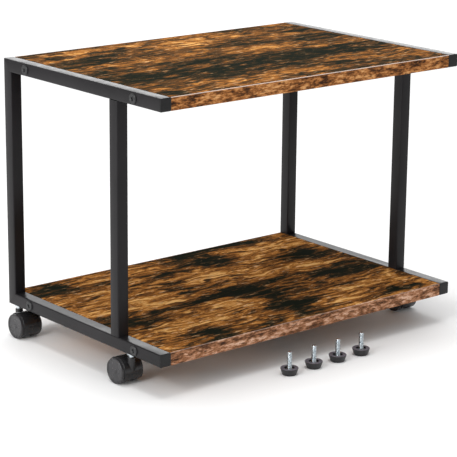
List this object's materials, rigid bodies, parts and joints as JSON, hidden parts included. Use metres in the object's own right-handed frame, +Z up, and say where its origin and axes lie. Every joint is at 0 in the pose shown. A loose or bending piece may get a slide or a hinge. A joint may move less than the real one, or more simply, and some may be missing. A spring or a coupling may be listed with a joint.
{
  "type": "mobile printer stand",
  "caption": "Low rolling printer stand: two side frames of black square tube carry an upper and a lower wood-look shelf on twin-wheel castors, with loose levelling feet.",
  "frame": {"origin": "centre of the whole footprint on the floor, the loose feet included", "axes": "+X to the right seen from the front, +Y from the front to the rear, +Z up"},
  "size_m": [0.62, 0.444, 0.45],
  "materials": {
    "frame_black": "satin black powder coat",
    "plug_black": "moulded plastic",
    "board": "rustic brown melamine, satin",
    "edge_band": "lighter rustic brown edge strip, satin",
    "bolt_black": "black oxide",
    "zinc_steel": "bright zinc plate",
    "castor_black": "glossy moulded nylon",
    "castor_grey": "satin moulded nylon",
    "pad_rubber": "satin moulded rubber"
  },
  "bodies": {
    "frame": {"left_top_rail": "frame_black", "left_bottom_rail": "frame_black", "left_front_upright": "frame_black", "left_rear_upright": "frame_black", "right_top_rail": "frame_black", "right_bottom_rail": "frame_black", "right_front_upright": "frame_black", "right_rear_upright": "frame_black", "left_top_plug": "plug_black", "left_bottom_plug": "plug_black", "right_top_plug": "plug_black", "right_bottom_plug": "plug_black", "top_shelf": "board", "bottom_shelf": "board", "top_shelf_edge_bands": "edge_band", "bottom_shelf_edge_bands": "edge_band", "shelf_bolts": "bolt_black", "shelf_inserts": "zinc_steel", "stem_nuts": "zinc_steel", "stem_grip_rings": "zinc_steel", "front_left_stem": "zinc_steel", "front_right_stem": "zinc_steel", "rear_left_stem": "zinc_steel", "rear_right_stem": "zinc_steel"},
    "front_left_castor": {"front_left_housing": "castor_black", "front_left_axle": "zinc_steel"},
    "front_left_outer_wheel": {"front_left_outer_wheel": "castor_grey", "front_left_outer_cap": "castor_grey"},
    "front_left_inner_wheel": {"front_left_inner_wheel": "castor_grey", "front_left_inner_cap": "castor_grey"},
    "front_right_castor": {"front_right_housing": "castor_black", "front_right_axle": "zinc_steel"},
    "front_right_outer_wheel": {"front_right_outer_wheel": "castor_grey", "front_right_outer_cap": "castor_grey"},
    "front_right_inner_wheel": {"front_right_inner_wheel": "castor_grey", "front_right_inner_cap": "castor_grey"},
    "rear_left_castor": {"rear_left_housing": "castor_black", "rear_left_axle": "zinc_steel"},
    "rear_left_outer_wheel": {"rear_left_outer_wheel": "castor_grey", "rear_left_outer_cap": "castor_grey"},
    "rear_left_inner_wheel": {"rear_left_inner_wheel": "castor_grey", "rear_left_inner_cap": "castor_grey"},
    "rear_right_castor": {"rear_right_housing": "castor_black", "rear_right_axle": "zinc_steel"},
    "rear_right_outer_wheel": {"rear_right_outer_wheel": "castor_grey", "rear_right_outer_cap": "castor_grey"},
    "rear_right_inner_wheel": {"rear_right_inner_wheel": "castor_grey", "rear_right_inner_cap": "castor_grey"},
    "foot_1": {"foot_1_pad": "pad_rubber", "foot_1_stud": "zinc_steel"},
    "foot_2": {"foot_2_pad": "pad_rubber", "foot_2_stud": "zinc_steel"},
    "foot_3": {"foot_3_pad": "pad_rubber", "foot_3_stud": "zinc_steel"},
    "foot_4": {"foot_4_pad": "pad_rubber", "foot_4_stud": "zinc_steel"}
  },
  "joints": [
    {"name": "front_left_swivel", "type": "hinge", "parent": "frame", "child": "front_left_castor", "pos_m": [-0.29, -0.094, 0.043], "axis": [0, 0, 1], "continuous": true},
    {"name": "front_left_outer_wheel_spin", "type": "hinge", "parent": "front_left_castor", "child": "front_left_outer_wheel", "pos_m": [-0.29, -0.078, 0.02], "axis": [1, 0, 0], "continuous": true},
    {"name": "front_left_inner_wheel_spin", "type": "hinge", "parent": "front_left_castor", "child": "front_left_inner_wheel", "pos_m": [-0.29, -0.078, 0.02], "axis": [1, 0, 0], "continuous": true},
    {"name": "front_right_swivel", "type": "hinge", "parent": "frame", "child": "front_right_castor", "pos_m": [0.29, -0.094, 0.043], "axis": [0, 0, 1], "continuous": true},
    {"name": "front_right_outer_wheel_spin", "type": "hinge", "parent": "front_right_castor", "child": "front_right_outer_wheel", "pos_m": [0.29, -0.078, 0.02], "axis": [1, 0, 0], "continuous": true},
    {"name": "front_right_inner_wheel_spin", "type": "hinge", "parent": "front_right_castor", "child": "front_right_inner_wheel", "pos_m": [0.29, -0.078, 0.02], "axis": [1, 0, 0], "continuous": true},
    {"name": "rear_left_swivel", "type": "hinge", "parent": "frame", "child": "rear_left_castor", "pos_m": [-0.29, 0.207, 0.043], "axis": [0, 0, 1], "continuous": true},
    {"name": "rear_left_outer_wheel_spin", "type": "hinge", "parent": "rear_left_castor", "child": "rear_left_outer_wheel", "pos_m": [-0.29, 0.191, 0.02], "axis": [1, 0, 0], "continuous": true},
    {"name": "rear_left_inner_wheel_spin", "type": "hinge", "parent": "rear_left_castor", "child": "rear_left_inner_wheel", "pos_m": [-0.29, 0.191, 0.02], "axis": [1, 0, 0], "continuous": true},
    {"name": "rear_right_swivel", "type": "hinge", "parent": "frame", "child": "rear_right_castor", "pos_m": [0.29, 0.207, 0.043], "axis": [0, 0, 1], "continuous": true},
    {"name": "rear_right_outer_wheel_spin", "type": "hinge", "parent": "rear_right_castor", "child": "rear_right_outer_wheel", "pos_m": [0.29, 0.191, 0.02], "axis": [1, 0, 0], "continuous": true},
    {"name": "rear_right_inner_wheel_spin", "type": "hinge", "parent": "rear_right_castor", "child": "rear_right_inner_wheel", "pos_m": [0.29, 0.191, 0.02], "axis": [1, 0, 0], "continuous": true},
    {"name": "foot_1_lift", "type": "slide", "parent": "frame", "child": "foot_1", "axis": [0, 0, 1], "range_m": [0, 0.06]},
    {"name": "foot_2_lift", "type": "slide", "parent": "frame", "child": "foot_2", "axis": [0, 0, 1], "range_m": [0, 0.06]},
    {"name": "foot_3_lift", "type": "slide", "parent": "frame", "child": "foot_3", "axis": [0, 0, 1], "range_m": [0, 0.06]},
    {"name": "foot_4_lift", "type": "slide", "parent": "frame", "child": "foot_4", "axis": [0, 0, 1], "range_m": [0, 0.06]}
  ]
}
